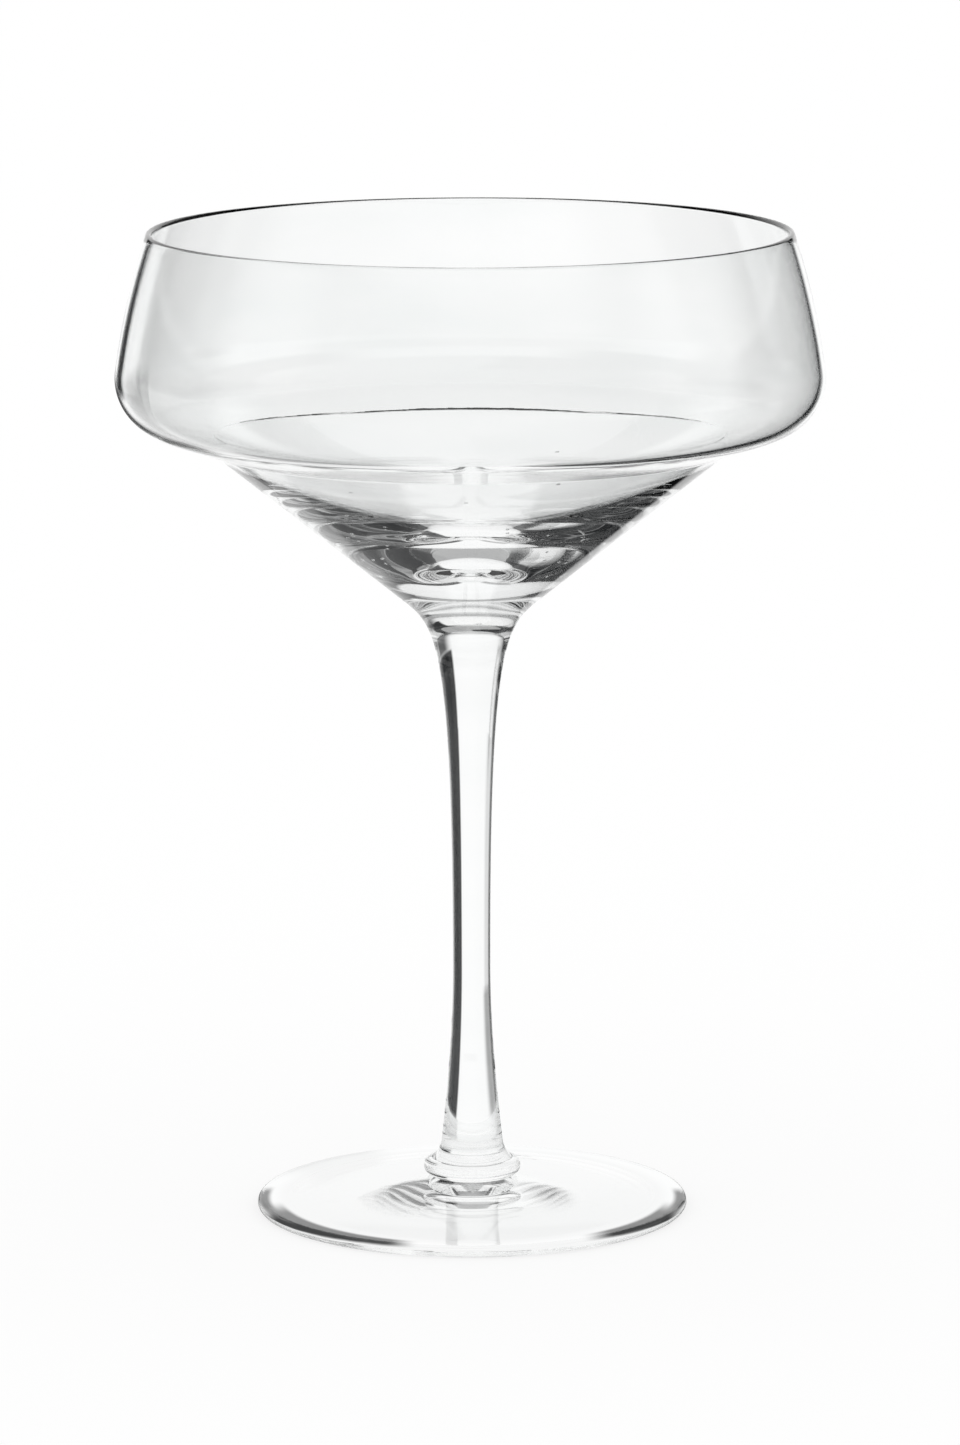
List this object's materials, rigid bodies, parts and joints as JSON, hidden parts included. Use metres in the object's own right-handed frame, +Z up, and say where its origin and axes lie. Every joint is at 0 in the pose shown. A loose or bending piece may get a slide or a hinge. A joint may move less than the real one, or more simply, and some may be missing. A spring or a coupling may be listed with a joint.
{
  "type": "stemmed cocktail glass",
  "caption": "Clear stemmed cocktail glass: wide bowl with leaning walls, a round shoulder and a cone-shaped bottom, on a slim drawn stem, bead collar and round foot.",
  "frame": {"origin": "centre of the foot, on the surface that the glass stands on", "axes": "+Z up along the glass's axis of revolution; X and Y are alike, because the glass is round"},
  "size_m": [0.1196, 0.1196, 0.168],
  "materials": {
    "bowl_glass": "clear colourless blown glass, polished",
    "stem_glass": "clear colourless drawn glass, polished",
    "collar_glass": "clear colourless pressed glass, fire-polished",
    "foot_glass": "clear colourless pressed glass, fire-polished edge"
  },
  "bodies": {
    "root": {"bowl": "bowl_glass", "stem": "stem_glass", "collar": "collar_glass", "foot": "foot_glass"}
  },
  "joints": []
}
